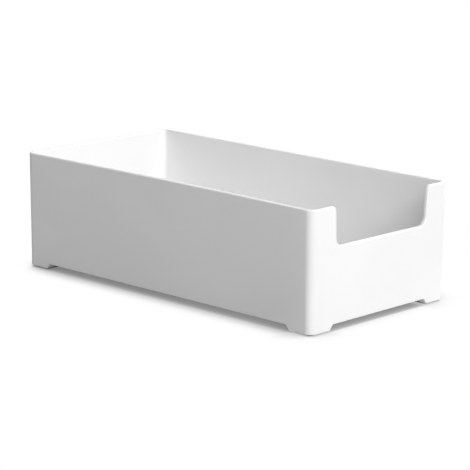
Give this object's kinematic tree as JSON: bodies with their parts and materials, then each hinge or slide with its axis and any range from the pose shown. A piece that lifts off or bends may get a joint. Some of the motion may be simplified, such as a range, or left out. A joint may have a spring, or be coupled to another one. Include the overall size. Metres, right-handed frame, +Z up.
{
  "type": "stackable drawer box",
  "caption": "Open-topped stackable box with thin drafted walls, a finger cut-out in the front wall, and low corner feet whose soft pads drop inside the rim of the box below.",
  "frame": {"origin": "on the surface that the box stands on, under the middle of the box", "axes": "+Z up; +Y along the box from its front wall, which has the finger cut-out, to its rear wall; +X to the right, seen from the front"},
  "size_m": [0.092, 0.18, 0.055],
  "materials": {
    "box_plastic": "white, satin moulded plastic",
    "pad_rubber": "grey, soft and matte"
  },
  "bodies": {
    "root": {"bin": "box_plastic", "foot_pad_front_left": "pad_rubber", "foot_pad_front_right": "pad_rubber", "foot_pad_rear_left": "pad_rubber", "foot_pad_rear_right": "pad_rubber"}
  },
  "joints": []
}
